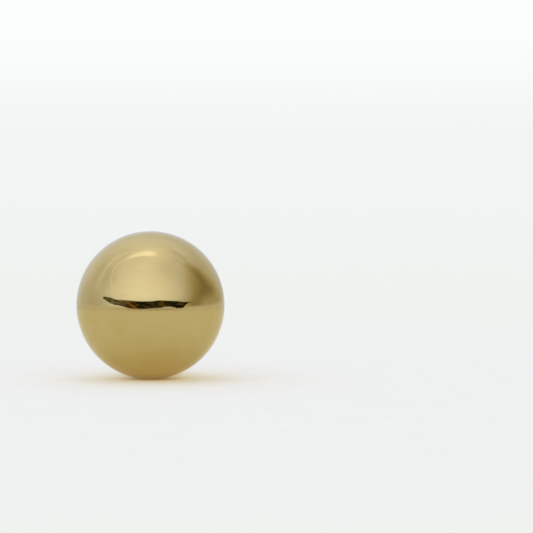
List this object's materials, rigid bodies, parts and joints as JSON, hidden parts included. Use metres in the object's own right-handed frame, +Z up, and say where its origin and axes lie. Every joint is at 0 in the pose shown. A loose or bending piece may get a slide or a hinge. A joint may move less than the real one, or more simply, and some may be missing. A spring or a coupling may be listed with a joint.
{
  "type": "clip-on dome earring",
  "caption": "Clip-on earring: a highly polished hollow gold dome, a flat back plate in its mouth and a U-shaped clip whose paddle rises behind the ear lobe.",
  "frame": {"origin": "on the table, under the middle of the earring's width and depth as it stands", "axes": "+Z up as it stands, +Y from the dome's face towards the clip behind it, +X across the earring"},
  "size_m": [0.019, 0.021, 0.019],
  "materials": {
    "polished_gold": "mirror polished, with faint wipe marks",
    "satin_gold": "fine brushed satin, lathe-turned",
    "clip_gold": "tumbled bright, softly polished"
  },
  "bodies": {
    "root": {"dome_shell": "polished_gold", "back_plate": "satin_gold", "ear_clip": "clip_gold"}
  },
  "joints": []
}
